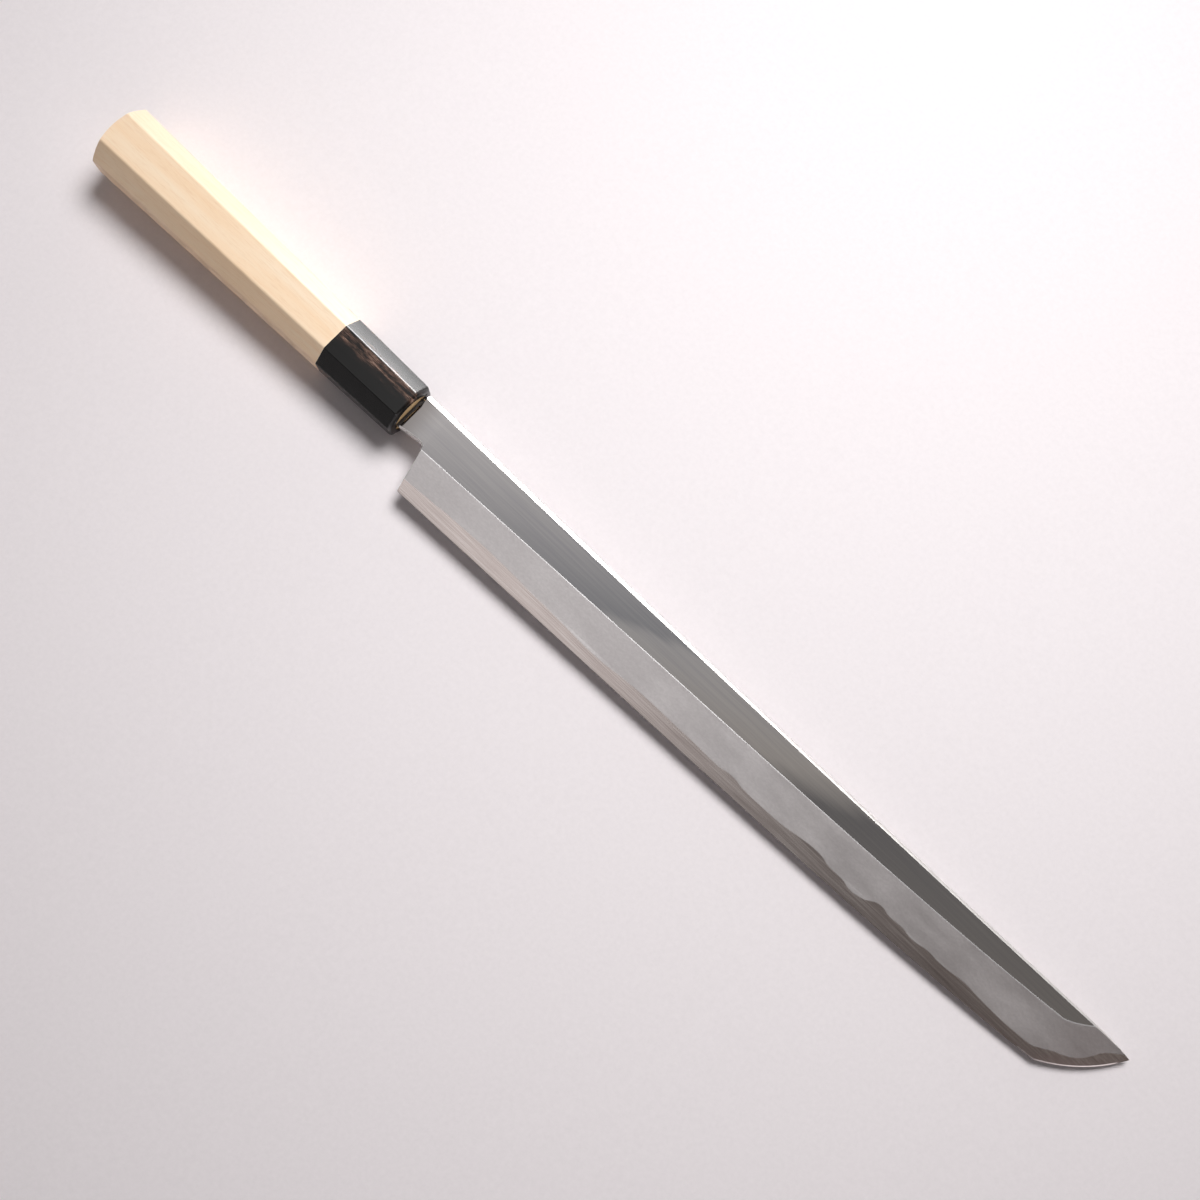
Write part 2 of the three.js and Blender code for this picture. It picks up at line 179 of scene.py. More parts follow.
LINE_START = FORGED_LINE[0][0] * MM
LINE_LENGTH = (FORGED_LINE[-1][0] - FORGED_LINE[0][0]) * MM
LINE_LOW, LINE_REACH = -14 * MM, 30 * MM
FEATHERED_SHARE, CLEAN_SHARE = 0.25, 0.55
FEATHER_AT_HEEL, FEATHER_AT_TIP = 1.6 * MM, 0.3 * MM
LINE_SOFTNESS = 0.25 * MM

bevel_finish, tree, shader, place = new_finish("stone_hazed_iron_and_steel", Metallic=1.0)
clouds = add(tree, "TexNoise", {
    "Vector": add(tree, "Mapping", {"Vector": place, "Scale": cells(24, 7, 7)}).outputs[0],
    "Scale": 1.0, "Detail": 4.0, "Roughness": 0.55})
strokes = add(tree, "TexNoise", {
    "Vector": add(tree, "Mapping", {"Vector": place, "Scale": cells(24, 0.45, 0.45)}).outputs[0],
    "Scale": 1.0, "Detail": 4.0, "Roughness": 0.65})
spread = add(tree, "SeparateXYZ", {"Vector": place})
station = add(tree, "MapRange", {"Value": spread.outputs["X"], "From Min": LINE_START,
                                 "From Max": LINE_START + LINE_LENGTH})
line = add(tree, "FloatCurve", {"Value": station.outputs["Result"]})
# A new curve has two points already, which become the line's first two.
for number, (along, across) in enumerate(FORGED_LINE):
    spot = ((along * MM - LINE_START) / LINE_LENGTH, (across * MM - LINE_LOW) / LINE_REACH)
    if number < 2:
        line.mapping.curves[0].points[number].location = spot
    else:
        line.mapping.curves[0].points.new(*spot)
line.mapping.update()
height = add(tree, "MapRange", {"Value": spread.outputs["Y"], "From Min": LINE_LOW,
                                "From Max": LINE_LOW + LINE_REACH}, clamp=False)
above = add(tree, "Math", {0: height.outputs["Result"], 1: line.outputs["Value"]},
            operation="SUBTRACT")
feather = add(tree, "MapRange", {"Value": station.outputs["Result"],
                                 "From Min": FEATHERED_SHARE, "From Max": CLEAN_SHARE,
                                 "To Min": FEATHER_AT_HEEL / LINE_REACH,
                                 "To Max": FEATHER_AT_TIP / LINE_REACH})
stray = add(tree, "Math", {0: strokes.outputs["Fac"], 1: 0.5}, operation="SUBTRACT")
stray = add(tree, "Math", {0: stray.outputs[0], 1: feather.outputs["Result"], 2: above.outputs[0]},
            operation="MULTIPLY_ADD")
share = add(tree, "MapRange", {"Value": stray.outputs[0], "From Min": -LINE_SOFTNESS / LINE_REACH,
                               "From Max": LINE_SOFTNESS / LINE_REACH})
mud = add(tree, "TexNoise", {
    "Vector": add(tree, "Mapping", {"Vector": place, "Scale": cells(1.3, 0.8, 0.8)}).outputs[0],
    "Scale": 1.0, "Detail": 3.0, "Roughness": 0.7})
milk = add(tree, "Mix", {"Factor": 0.5, "A": clouds.outputs["Fac"], "B": mud.outputs["Fac"]})
iron_tone = add(tree, "ValToRGB", {"Fac": milk.outputs["Result"]},
                stops=((0.36, "#C4C0C0"), (0.5, "#CCC8C8"), (0.64, "#D5D1D1")))
steel_tone = add(tree, "ValToRGB", {"Fac": strokes.outputs["Fac"]},
                 stops=((0.25, "#A99F9B"), (0.5, "#C2B8B4"), (0.75, "#D8D1CD")))
tone = add(tree, "Mix", {"Factor": share.outputs["Result"], "A": steel_tone.outputs["Color"],
                         "B": iron_tone.outputs["Color"]}, data_type="RGBA")
tree.links.new(tone.outputs["Result"], shader.inputs["Base Color"])
iron_gloss = add(tree, "MapRange", {"Value": clouds.outputs["Fac"], "To Min": 0.29, "To Max": 0.41})
steel_gloss = add(tree, "MapRange", {"Value": strokes.outputs["Fac"], "To Min": 0.14, "To Max": 0.26})
gloss = add(tree, "Mix", {"Factor": share.outputs["Result"], "A": steel_gloss.outputs["Result"],
                          "B": iron_gloss.outputs["Result"]})
tree.links.new(gloss.outputs["Result"], shader.inputs["Roughness"])
lined = add(tree, "Bump", {"Height": strokes.outputs["Fac"], "Strength": 0.3,
                           "Distance": 0.008 * MM})
tree.links.new(lined.outputs["Normal"], shader.inputs["Normal"])

# Buffed iron: the rounded spine and neck, held to a soft wheel until they have a pale, even sheen,
# with faint marks a few millimetres long.
buffed_iron, tree, shader, place = new_finish("buffed_iron", Metallic=1.0)
marks = add(tree, "TexNoise", {
    "Vector": add(tree, "Mapping", {"Vector": place, "Scale": cells(3, 1.2, 1.2)}).outputs[0],
    "Scale": 1.0, "Detail": 3.0, "Roughness": 0.6})
tone = add(tree, "ValToRGB", {"Fac": marks.outputs["Fac"]},
           stops=((0.3, "#CFCBC9"), (0.7, "#DEDBD8")))
tree.links.new(tone.outputs["Color"], shader.inputs["Base Color"])
gloss = add(tree, "MapRange", {"Value": marks.outputs["Fac"], "To Min": 0.38, "To Max": 0.48})
tree.links.new(gloss.outputs["Result"], shader.inputs["Roughness"])

# Painted highlight on the ridge: where the flat and the bevel meet, a hair-thin line gets a near-white,
# partly unmetallic colour, so it stays bright from any side. Towards the tip the painted highlight is
# dimmer.
HIGHLIGHT_FULL_UNTIL, HIGHLIGHT_DIM_FROM = 40 * MM, 150 * MM

ridge_painted_highlight, tree, shader, place = new_finish("ridge_iron_painted_highlight", Metallic=0.4, Roughness=0.5)
rub = add(tree, "TexNoise", {
    "Vector": add(tree, "Mapping", {"Vector": place, "Scale": cells(9, 4, 4)}).outputs[0],
    "Scale": 1.0, "Detail": 2.0})
tone = add(tree, "ValToRGB", {"Fac": rub.outputs["Fac"]},
           stops=((0.3, "#D8D6D6"), (0.7, "#F6F4F4")))
spread = add(tree, "SeparateXYZ", {"Vector": place})
highlight_dimming = add(tree, "MapRange", {"Value": spread.outputs["X"], "From Min": HIGHLIGHT_FULL_UNTIL,
                              "From Max": HIGHLIGHT_DIM_FROM})
# Painted highlight, dimmed towards the tip.
tone = add(tree, "Mix", {"Factor": highlight_dimming.outputs["Result"], "A": tone.outputs["Color"],
                         "B": linear("#B4B2B2")}, data_type="RGBA")
tree.links.new(tone.outputs["Result"], shader.inputs["Base Color"])

# Fire scale: the tang is left as it came from the forge, blue-black and dull. Little of it shows.
scaled_iron, tree, shader, place = new_finish("fire_scaled_iron", Metallic=1.0, Roughness=0.6)
scale = add(tree, "TexNoise", {
    "Vector": add(tree, "Mapping", {"Vector": place, "Scale": cells(2, 2, 2)}).outputs[0],
    "Scale": 1.0, "Detail": 4.0, "Roughness": 0.7})
tone = add(tree, "ValToRGB", {"Fac": scale.outputs["Fac"]},
           stops=((0.3, "#2C2A2B"), (0.7, "#4B4745")))
tree.links.new(tone.outputs["Color"], shader.inputs["Base Color"])
crust = add(tree, "Bump", {"Height": scale.outputs["Fac"], "Strength": 0.4, "Distance": 0.05 * MM})
tree.links.new(crust.outputs["Normal"], shader.inputs["Normal"])

# Faces are told apart by how far they look up, back, to the spine, or to the edge and the tip.
TOWARDS_EDGE = Vector((0.6, -0.8, 0))
FLAT_UPWARD = 0.9995
BEVEL_UPWARD, BEVEL_LEAN = 0.9, 0.03
STEEP_UPWARD, SPINEWARD = 0.3, 0.3
BACKWARD = -0.9
RIDGE_WIDTH = 0.16 * MM
NECK_ROUNDING = 0.6 * MM
HEEL_ROUNDING = 0.3 * MM
NECK_FROM, NECK_TO = -89.5 * MM, -72.0 * MM
TANG_BEHIND = -89.95 * MM
FLAT, BEVEL, BUFFED, RIDGE = range(4)


def faces_flat(normal):
    """Whether a face is on the flat, which looks straight up."""
    return normal.z > FLAT_UPWARD


def faces_bevel(normal):
    """Whether a face is on the bevel, which leans towards the edge and the tip."""
    return normal.z > BEVEL_UPWARD and normal.dot(TOWARDS_EDGE) > BEVEL_LEAN


def give_finishes(piece, *choices):
    """Gives each face the first finish whose test its normal and centre pass."""
    for finish, _ in choices:
        piece.data.materials.append(finish)
    for face in piece.data.polygons:
        passed = [test(face.normal, face.center) for _, test in choices]
        face.material_index = passed.index(True)


def on_neck(face):
    """Whether a face is between the ferrule and the heel."""
    return NECK_FROM < face.calc_center_median().x < NECK_TO


def under_neck(a, b):
    """Whether two faces meet at the neck's lower edge, under the flat."""
    return (on_neck(a) and on_neck(b) and FLAT in (a.material_index, b.material_index)
            and min(a.normal.z, b.normal.z) < STEEP_UPWARD
            and max(a.normal.y, b.normal.y) < SPINEWARD)


iron = copy_of("blade_iron", "iron_cladding")
give_finishes(iron,
              (flat_iron, lambda normal, centre: faces_flat(normal) and centre.x > TANG_BEHIND),
              (bevel_finish, lambda normal, centre: faces_bevel(normal) and centre.x > TANG_BEHIND),
              (buffed_iron, lambda normal, centre: centre.x > TANG_BEHIND),
              (ridge_painted_highlight, lambda normal, centre: False),
              (scaled_iron, lambda normal, centre: True))
bevel_edges(iron, lambda a, b: {a.material_index, b.material_index} == {FLAT, BEVEL},
            RIDGE_WIDTH, segments=1, material=RIDGE)
bevel_edges(iron, under_neck, NECK_ROUNDING, segments=4, material=BUFFED)
bevel_edges(iron, lambda a, b: {a.material_index, b.material_index} == {BEVEL, BUFFED}
            and min(a.normal.x, b.normal.x) < BACKWARD,
            HEEL_ROUNDING, segments=2, material=BUFFED)
shade(iron, crease=radians(55))
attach(iron, "root")
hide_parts("blade_iron")

# The edge steel: a thinner bar of hard carbon steel under the iron. It shows as the lower part
# of the bevel, ends in the cutting edge, and makes the whole hollow-ground back of the blade.

# Honed steel: the edge of the tip, fresh from the finest stone, is a hair-thin line that catches light.
keen_steel, tree, shader, place = new_finish("honed_edge_steel", Metallic=1.0)
rub = add(tree, "TexNoise", {
    "Vector": add(tree, "Mapping", {"Vector": place, "Scale": cells(2.5, 2.5, 2.5)}).outputs[0],
    "Scale": 1.0, "Detail": 2.0})
tone = add(tree, "ValToRGB", {"Fac": rub.outputs["Fac"]},
           stops=((0.3, "#DCD6D4"), (0.7, "#F2EEED")))
tree.links.new(tone.outputs["Color"], shader.inputs["Base Color"])
gloss = add(tree, "MapRange", {"Value": rub.outputs["Fac"], "To Min": 0.18, "To Max": 0.3})
tree.links.new(gloss.outputs["Result"], shader.inputs["Roughness"])

# Wheel-ground steel: the hollow back, left by a large wheel with fine lines across the blade.
ground_steel, tree, shader, place = new_finish("wheel_ground_steel", Metallic=1.0)
strokes = add(tree, "TexNoise", {
    "Vector": add(tree, "Mapping", {"Vector": place, "Scale": cells(0.8, 18, 18)}).outputs[0],
    "Scale": 1.0, "Detail": 3.0, "Roughness": 0.6})
tone = add(tree, "ValToRGB", {"Fac": strokes.outputs["Fac"]},
           stops=((0.3, "#B9B4B1"), (0.7, "#CFCBC8")))
tree.links.new(tone.outputs["Color"], shader.inputs["Base Color"])
gloss = add(tree, "MapRange", {"Value": strokes.outputs["Fac"], "To Min": 0.22, "To Max": 0.36})
tree.links.new(gloss.outputs["Result"], shader.inputs["Roughness"])
lined = add(tree, "Bump", {"Height": strokes.outputs["Fac"], "Strength": 0.25,
                           "Distance": 0.008 * MM})
tree.links.new(lined.outputs["Normal"], shader.inputs["Normal"])

TIP_FROM = 213 * MM
UPWARD = 0.5
HONED_UPWARD, HONED_LEAN = 0.965, 0.1

steel = copy_of("edge_steel", "edge_steel_layer")
give_finishes(steel,
              (keen_steel, lambda normal, centre: UPWARD < normal.z < HONED_UPWARD
               and normal.dot(TOWARDS_EDGE) > HONED_LEAN and centre.x > TIP_FROM),
              (bevel_finish, lambda normal, centre: normal.z > UPWARD),
              (ground_steel, lambda normal, centre: normal.z < -UPWARD),
              (buffed_iron, lambda normal, centre: True))
shade(steel, crease=radians(15))
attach(steel, "root")
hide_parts("edge_steel")

# The grip: one length of magnolia, planed to a tapering octagon and domed at the butt.
# A tenon at its front goes into the ferrule, and the tang is burnt into a slot in its end.

ferrule_low, ferrule_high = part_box("horn_ferrule")
grip_low, grip_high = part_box("handle_grip")
AXIS_SIDE = (grip_low.y + grip_high.y) / 2
AXIS_HEIGHT = (grip_low.z + grip_high.z) / 2

# Sanded magnolia, left bare: pale, soft and close-grained, with faint lengthwise figure, short
# pores and a matt skin.
magnolia, tree, shader, place = new_finish("sanded_magnolia", Specular_IOR_Level=0.4)
figure = add(tree, "TexNoise", {
    "Vector": add(tree, "Mapping", {"Vector": place, "Scale": cells(70, 5, 5)}).outputs[0],
    "Scale": 1.0, "Detail": 3.0, "Roughness": 0.55, "Distortion": 0.4})
pores = add(tree, "TexNoise", {
    "Vector": add(tree, "Mapping", {"Vector": place, "Scale": cells(7, 0.45, 0.45)}).outputs[0],
    "Scale": 1.0, "Detail": 3.0, "Roughness": 0.7})
tone = add(tree, "ValToRGB", {"Fac": figure.outputs["Fac"]},
           stops=((0.28, "#FCDBB6"), (0.5, "#FEE1C0"), (0.72, "#FFE7CA")))
fleck = add(tree, "ValToRGB", {"Fac": pores.outputs["Fac"]},
            stops=((0.3, "#EAD8C2"), (0.5, "#FFFFFF")))
grain = add(tree, "Mix", {"Factor": 0.35, "A": tone.outputs["Color"], "B": fleck.outputs["Color"]},
            data_type="RGBA", blend_type="MULTIPLY")
tree.links.new(grain.outputs["Result"], shader.inputs["Base Color"])
gloss = add(tree, "MapRange", {"Value": pores.outputs["Fac"], "To Min": 0.5, "To Max": 0.38})
tree.links.new(gloss.outputs["Result"], shader.inputs["Roughness"])
fibre = add(tree, "Bump", {"Height": pores.outputs["Fac"], "Strength": 0.35, "Distance": 0.05 * MM})
tree.links.new(fibre.outputs["Normal"], shader.inputs["Normal"])

# Sawn end grain: open, matt and more golden, and charred round the slot where the hot tang went in.
CHARRED_TO, SCORCHED_TO = 0.6 * MM, 1.3 * MM
RAGGED = 0.8 * MM

end_grain, tree, shader, place = new_finish("magnolia_end_grain", Roughness=0.75)
pores = add(tree, "TexNoise", {
    "Vector": add(tree, "Mapping", {"Vector": place, "Scale": cells(3, 0.6, 0.6)}).outputs[0],
    "Scale": 1.0, "Detail": 3.0, "Roughness": 0.7})
tone = add(tree, "ValToRGB", {"Fac": pores.outputs["Fac"]},
           stops=((0.3, "#E6BC7E"), (0.7, "#F6D8A6")))
spread = add(tree, "SeparateXYZ", {"Vector": place})
from_slot = add(tree, "Math", {0: spread.outputs["Z"], 1: AXIS_HEIGHT}, operation="SUBTRACT")
from_slot = add(tree, "Math", {0: from_slot.outputs[0]}, operation="ABSOLUTE")
from_slot = add(tree, "Math", {0: pores.outputs["Fac"], 1: -RAGGED, 2: from_slot.outputs[0]},
                operation="MULTIPLY_ADD")
from_slot = add(tree, "MapRange", {"Value": from_slot.outputs[0], "From Min": CHARRED_TO,
                                   "From Max": SCORCHED_TO})
scorch = add(tree, "ValToRGB", {"Fac": from_slot.outputs["Result"]},
             stops=((0.2, "#2E2216"), (0.5, "#8A6B48"), (0.9, "#FFFFFF")))
grain = add(tree, "Mix", {"Factor": 1.0, "A": tone.outputs["Color"], "B": scorch.outputs["Color"]},
            data_type="RGBA", blend_type="MULTIPLY")
tree.links.new(grain.outputs["Result"], shader.inputs["Base Color"])
fibre = add(tree, "Bump", {"Height": pores.outputs["Fac"], "Strength": 0.4, "Distance": 0.06 * MM})
tree.links.new(fibre.outputs["Normal"], shader.inputs["Normal"])

ARRIS_WIDTH = 0.55 * MM
ARRIS_ANGLE = radians(30)
SAME_FACET = radians(0.2)
ENDWARD = 0.3
CLEAR_OF_FERRULE = 0.2 * MM
INSIDE_FERRULE = 1.0 * MM


def lengthwise(face):
    """Whether a face is an outer facet of the handle, and not an end or a wall of the slot."""
    away = face.calc_center_median() - Vector((0, AXIS_SIDE, AXIS_HEIGHT))
    return abs(face.normal.x) < ENDWARD and away.y * face.normal.y + away.z * face.normal.z > 0


def on_arris(a, b):
    """Whether two faces are outer facets that meet at an arris."""
    return a.normal.angle(b.normal) > ARRIS_ANGLE and lengthwise(a) and lengthwise(b)


def bare_of_ferrule(face):
    """Whether a face of the grip lies behind the ferrule."""
    return face.calc_center_median().x < ferrule_low.x - CLEAR_OF_FERRULE


def join_facets(piece):
    """Joins the triangles of each plane facet into one face, so that a bevel runs clean along it."""
    bpy.ops.object.mode_set(mode="EDIT")
    bpy.ops.mesh.select_all(action="SELECT")
    bpy.ops.mesh.dissolve_limited(angle_limit=SAME_FACET)
    bpy.ops.object.mode_set(mode="OBJECT")


def flatten_facets(piece):
    """Lets the broad facets set the shading, so that only their rounded arrises turn."""
    flat = piece.modifiers.new("flat_facets", "WEIGHTED_NORMAL")
    flat.keep_sharp = True
    flat.weight = 100
    bpy.ops.object.modifier_apply(modifier=flat.name)


grip = copy_of("handle_grip", "magnolia_grip")
join_facets(grip)
bevel_edges(grip, lambda a, b: on_arris(a, b) and bare_of_ferrule(a) and bare_of_ferrule(b),
            ARRIS_WIDTH, segments=3)
give_finishes(grip,
              (end_grain, lambda normal, centre: centre.x > ferrule_low.x + INSIDE_FERRULE),
              (magnolia, lambda normal, centre: True))
shade(grip, crease=radians(35))
flatten_facets(grip)
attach(grip, "root")
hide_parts("handle_grip")

# The ferrule: a collar sawn from the solid tip of a water buffalo's horn, bored for the tenon,
# glued on, then shaped with the grip and polished. Its front edge is rolled over.

# Polished buffalo horn: black and glassy like hard rubber, with brown hair-like fibres that run
# with the horn where its paler core comes near the surface.
PALE_STREAK = (ferrule_low.y + ferrule_high.y) / 2 + 3.3 * MM
STREAK_REACH, STREAK_CORE = 5.6 * MM, 0.3 * MM

horn, tree, shader, place = new_finish("polished_buffalo_horn", IOR=1.47)
fibres = add(tree, "TexNoise", {
    "Vector": add(tree, "Mapping", {"Vector": place, "Scale": cells(5, 0.35, 0.8)}).outputs[0],
    "Scale": 1.0, "Detail": 5.0, "Roughness": 0.75, "Distortion": 0.4})
patches = add(tree, "TexNoise", {
    "Vector": add(tree, "Mapping", {"Vector": place, "Scale": cells(9, 2.2, 2.2)}).outputs[0],
    "Scale": 1.0, "Detail": 3.0, "Roughness": 0.6})
spread = add(tree, "SeparateXYZ", {"Vector": place})
streak = add(tree, "Math", {0: spread.outputs["Y"], 1: PALE_STREAK}, operation="SUBTRACT")
streak = add(tree, "Math", {0: streak.outputs[0]}, operation="ABSOLUTE")
streak = add(tree, "MapRange", {"Value": streak.outputs[0], "From Min": STREAK_REACH,
                                "From Max": STREAK_CORE}, interpolation_type="SMOOTHSTEP")
patchy = add(tree, "MapRange", {"Value": patches.outputs["Fac"], "From Min": 0.32, "From Max": 0.66})
hairy = add(tree, "MapRange", {"Value": fibres.outputs["Fac"], "From Min": 0.36, "From Max": 0.7,
                               "To Min": 0.2})
streak = add(tree, "Math", {0: streak.outputs["Result"], 1: patchy.outputs["Result"]},
             operation="MULTIPLY")
streak = add(tree, "Math", {0: streak.outputs[0], 1: hairy.outputs["Result"]}, operation="MULTIPLY")
tone = add(tree, "ValToRGB", {"Fac": streak.outputs[0]},
           stops=((0.03, "#0B0A09"), (0.18, "#231A16"), (0.44, "#634B40"), (0.72, "#BE9C88")))
tree.links.new(tone.outputs["Color"], shader.inputs["Base Color"])
gloss = add(tree, "MapRange", {"Value": fibres.outputs["Fac"], "To Min": 0.19, "To Max": 0.29})
tree.links.new(gloss.outputs["Result"], shader.inputs["Roughness"])
lined = add(tree, "Bump", {"Height": fibres.outputs["Fac"], "Strength": 0.12,
                           "Distance": 0.015 * MM})
tree.links.new(lined.outputs["Normal"], shader.inputs["Normal"])

HORN_ARRIS_WIDTH = 0.35 * MM

ferrule = copy_of("horn_ferrule", "horn_collar")
join_facets(ferrule)
bevel_edges(ferrule, on_arris, HORN_ARRIS_WIDTH, segments=2)
give_finishes(ferrule, (horn, lambda normal, centre: True))
shade(ferrule, crease=radians(35))
flatten_facets(ferrule)
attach(ferrule, "root")
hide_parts("horn_ferrule")

# The table: a large sheet of white card, laid under the knife. The grip's lowest facet lies flat on
# it, so the card is tilted to that facet, and the blade is clear of it.
FLOOR_SIZE = 6.0
FLOOR_SLOPE = 0.016
FLOOR_DROP = 0.2 * MM
FADE_FROM, FADE_TO = 0.31, 0.46
BACKDROP = linear("#E8E2E2")

bpy.ops.object.select_all(action="DESELECT")
bpy.ops.mesh.primitive_plane_add(size=FLOOR_SIZE, location=(0, 0, 0))
floor = bpy.context.object
floor.name = "white_card"
for corner in floor.data.vertices:
    corner.co.z = FLOOR_SLOPE * (corner.co.x - grip_low.x) - FLOOR_DROP

# Matt card: white with a breath of pink, and a fine fibrous tooth. Far from the knife it goes over
# into the pale backdrop, for the eye and in reflections.
card, tree, shader, place = new_finish("matt_white_card", Roughness=0.9)
tooth = add(tree, "TexNoise", {
    "Vector": add(tree, "Mapping", {"Vector": place, "Scale": cells(1.6, 1.6, 1.6)}).outputs[0],
    "Scale": 1.0, "Detail": 4.0, "Roughness": 0.7})
tone = add(tree, "ValToRGB", {"Fac": tooth.outputs["Fac"]},
           stops=((0.3, "#F1EAEC"), (0.7, "#F6EFF1")))
tree.links.new(tone.outputs["Color"], shader.inputs["Base Color"])
bumps = add(tree, "Bump", {"Height": tooth.outputs["Fac"], "Strength": 0.3, "Distance": 0.1 * MM})
tree.links.new(bumps.outputs["Normal"], shader.inputs["Normal"])
distance = add(tree, "VectorMath", {0: place}, operation="LENGTH")
away = add(tree, "MapRange", {"Value": distance.outputs["Value"], "From Min": FADE_FROM,
                              "From Max": FADE_TO}, interpolation_type="SMOOTHSTEP")
path = add(tree, "LightPath")
seen = add(tree, "Math", {0: path.outputs["Is Camera Ray"], 1: path.outputs["Is Glossy Ray"]},
           operation="MAXIMUM")
fade = add(tree, "Math", {0: away.outputs["Result"], 1: seen.outputs[0]}, operation="MULTIPLY")
haze = add(tree, "Emission", {"Color": BACKDROP, "Strength": 1.0})
surface = add(tree, "MixShader", {0: fade.outputs[0], 1: shader.outputs[0], 2: haze.outputs[0]})
tree.links.new(surface.outputs[0], tree.nodes["Material Output"].inputs["Surface"])
floor.data.materials.append(card)

# The light: a round softbox with a grid lights the scene from over the spine side. A tall panel
# beyond the spine and a small lamp by the edge only show in reflections, on the arrises, the spine
# and the ferrule.
GRID_SPREAD = radians(100)


def lamp(name, place, aim, wide, high, watts, shape="RECTANGLE"):
    """An area lamp at a place, turned to face a point."""
    light = bpy.data.lights.new(name, "AREA")
    light.shape = shape
    light.size = wide
    light.size_y = high
    light.energy = watts
    holder = bpy.data.objects.new(name, light)
    bpy.context.scene.collection.objects.link(holder)
    holder.location = place
    holder.rotation_euler = (Vector(aim) - Vector(place)).to_track_quat("-Z", "Y").to_euler()
    return holder


softbox = lamp("key_softbox", place=(-0.10, 0.54, 0.84), aim=(-0.005, 0, 0),
               wide=0.54, high=0.54, watts=3.3, shape="DISK")
softbox.data.spread = GRID_SPREAD
panel = lamp("tall_panel", place=(-0.26, 0.60, 0.22), aim=(-0.26, 0, 0.22),
             wide=0.18, high=0.44, watts=8.6)
panel.visible_diffuse = False
glint = lamp("small_lamp", place=(0.147, -0.365, 0.273), aim=(-0.09, 0, 0.02),
             wide=0.06, high=0.06, watts=0.5, shape="DISK")
glint.visible_diffuse = False

# The room: a pale ceiling over the handle end that falls to dark over the tip, with a soft panel
# across it, and pale walls all round. The blade's polished faces show it by reflection, and the eye
# itself sees only the plain backdrop.
ACROSS_PANEL = (1.0, -2.84, 0.0)
ROOM_LIGHT, ROOM_REFLECTED, BACKDROP_SEEN = 0.55, 1.25, 1.0

room = bpy.data.worlds.new("studio_room")
bpy.context.scene.world = room
room.use_nodes = True
tree = room.node_tree
sky = add(tree, "TexCoord").outputs["Generated"]
towards = add(tree, "SeparateXYZ", {"Vector": sky})
# The ceiling on the spine side, with the soft panel across it on a slant.
slant = add(tree, "VectorMath", {0: sky, 1: ACROSS_PANEL}, operation="DOT_PRODUCT")
slant = add(tree, "MapRange", {"Value": slant.outputs["Value"], "From Min": -0.7, "From Max": 0.0})
spine_side = add(tree, "ValToRGB", {"Fac": slant.outputs["Result"]},
                 stops=((0.0, "#5E5E5E"), (0.11, "#C6C3C3"), (0.41, "#8B8B8E"), (0.43, "#A5A3A3"),
                        (0.59, "#9D9894"), (0.65, "#6A6868"), (1.0, "#746F6B")))
# The ceiling on the edge side, bright over the heel and dark over the tip.
along = add(tree, "MapRange", {"Value": towards.outputs["X"], "From Min": -0.3, "From Max": 0.5})
edge_side = add(tree, "ValToRGB", {"Fac": along.outputs["Result"]},
                stops=((0.0, "#9A9A9A"), (0.05, "#F6F3F3"), (0.26, "#EEEAEA"), (0.46, "#807E7D"),
                       (0.62, "#5D5958"), (0.72, "#585350"), (0.9, "#786E6D")))
across = add(tree, "MapRange", {"Value": towards.outputs["Y"], "From Min": -0.04, "From Max": 0.08})
ceiling = add(tree, "Mix", {"Factor": across.outputs["Result"], "A": edge_side.outputs["Color"],
                            "B": spine_side.outputs["Color"]}, data_type="RGBA")
shut = add(tree, "MapRange", {"Value": towards.outputs["Y"], "From Min": -0.46, "From Max": -0.66})
ceiling = add(tree, "Mix", {"Factor": shut.outputs["Result"], "A": ceiling.outputs["Result"],
                            "B": linear("#504E4E")}, data_type="RGBA")
# The walls, paler beyond the spine.
side = add(tree, "MapRange", {"Value": towards.outputs["Y"], "From Min": -0.6, "From Max": 0.6})
walls = add(tree, "Mix", {"Factor": side.outputs["Result"], "A": linear("#8F8C8C"),
                          "B": linear("#E8E4E4")}, data_type="RGBA")
low = add(tree, "MapRange", {"Value": towards.outputs["Z"], "From Min": 0.45, "From Max": 0.2})
whole = add(tree, "Mix", {"Factor": low.outputs["Result"], "A": ceiling.outputs["Result"],
                          "B": walls.outputs["Result"]}, data_type="RGBA")
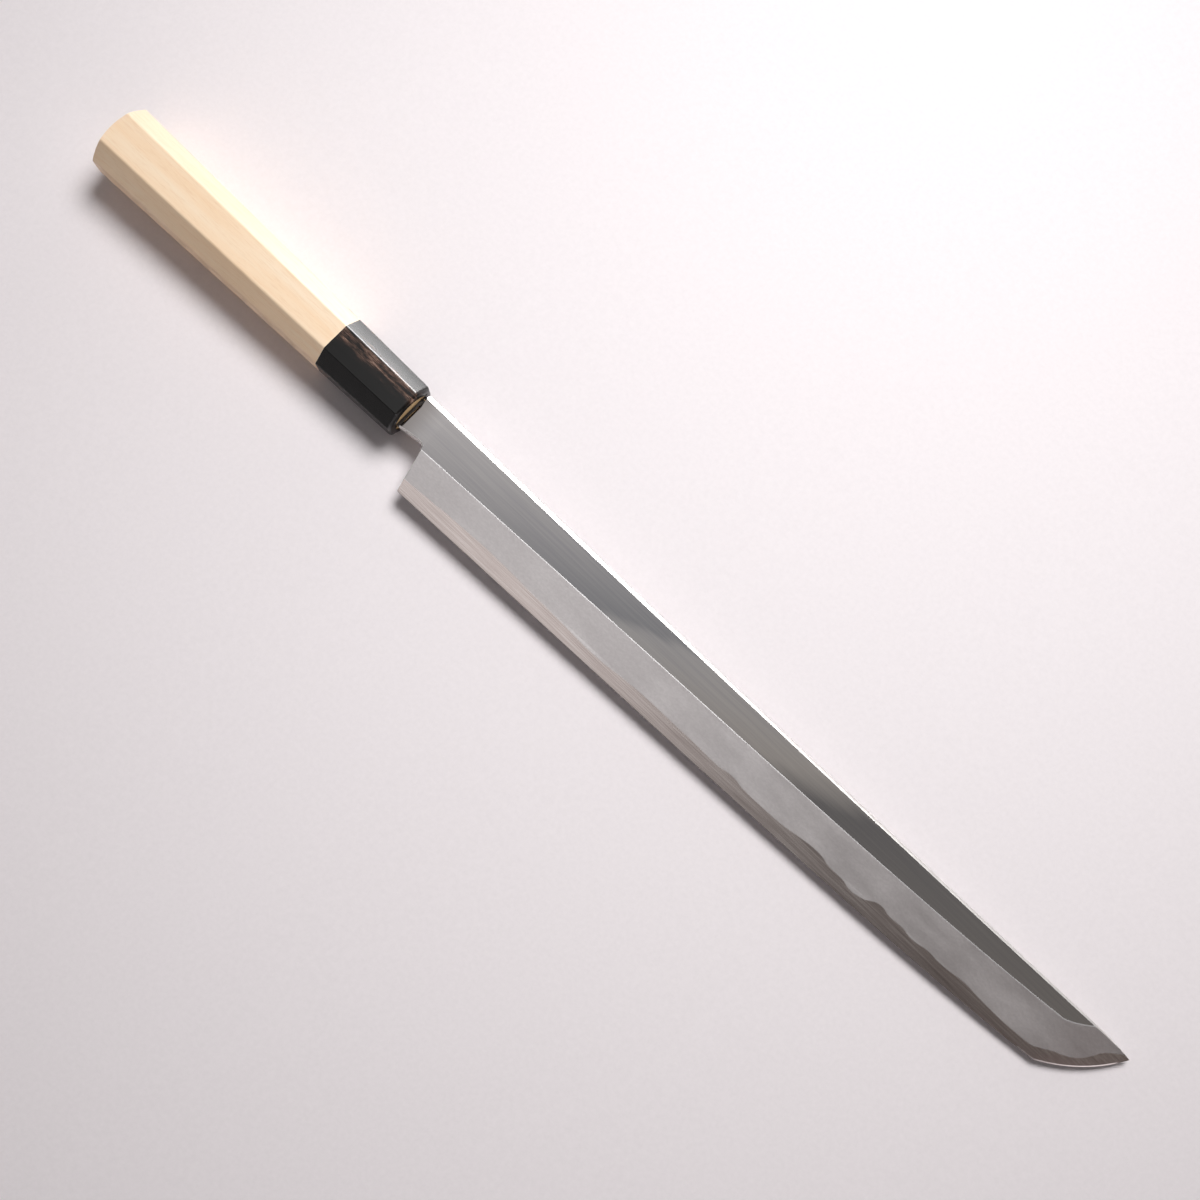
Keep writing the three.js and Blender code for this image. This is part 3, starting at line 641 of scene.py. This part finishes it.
# The dark end of the room beyond the tip, with a pale doorway on the edge side.
far = add(tree, "MapRange", {"Value": towards.outputs["X"], "From Min": 0.52, "From Max": 0.7})
whole = add(tree, "Mix", {"Factor": far.outputs["Result"], "A": whole.outputs["Result"],
                          "B": linear("#454343")}, data_type="RGBA")
door = add(tree, "MapRange", {"Value": towards.outputs["Y"], "From Min": -0.04, "From Max": -0.12})
door = add(tree, "Math", {0: far.outputs["Result"], 1: door.outputs["Result"]}, operation="MULTIPLY")
whole = add(tree, "Mix", {"Factor": door.outputs[0], "A": whole.outputs["Result"],
                          "B": linear("#E8DEDE")}, data_type="RGBA")
path = add(tree, "LightPath")
seen = add(tree, "Math", {0: path.outputs["Is Camera Ray"], 1: path.outputs["Is Glossy Ray"]},
           operation="MAXIMUM")
strength = add(tree, "MapRange", {"Value": seen.outputs[0], "To Min": ROOM_LIGHT,
                                  "To Max": ROOM_REFLECTED})
strength = add(tree, "Mix", {"Factor": path.outputs["Is Camera Ray"], "A": strength.outputs["Result"],
                             "B": BACKDROP_SEEN})
whole = add(tree, "Mix", {"Factor": path.outputs["Is Camera Ray"], "A": whole.outputs["Result"],
                          "B": BACKDROP}, data_type="RGBA")
light = tree.nodes["Background"]
tree.links.new(strength.outputs["Result"], light.inputs["Strength"])
tree.links.new(whole.outputs["Result"], light.inputs["Color"])

# The camera: half a metre above the blade, looking almost straight down and turned, so that the knife
# lies across the corners of the frame.
LENS = 48.0
SENSOR = 36.0
CAMERA_PLACE = Vector((56.77, -64.56, 563.48)) * MM
CAMERA_RIGHT = Vector((0.72306, 0.69062, 0.01515))
CAMERA_UP = Vector((-0.68426, 0.71306, 0.15275))

camera = bpy.data.objects.new("camera", bpy.data.cameras.new("camera"))
bpy.context.scene.collection.objects.link(camera)
camera.data.lens = LENS
camera.data.sensor_width = SENSOR
turn = Matrix((CAMERA_RIGHT, CAMERA_UP, CAMERA_RIGHT.cross(CAMERA_UP))).transposed()
camera.matrix_world = Matrix.Translation(CAMERA_PLACE) @ turn.to_4x4()
bpy.context.scene.camera = camera
bpy.context.scene.view_settings.view_transform = "Standard"
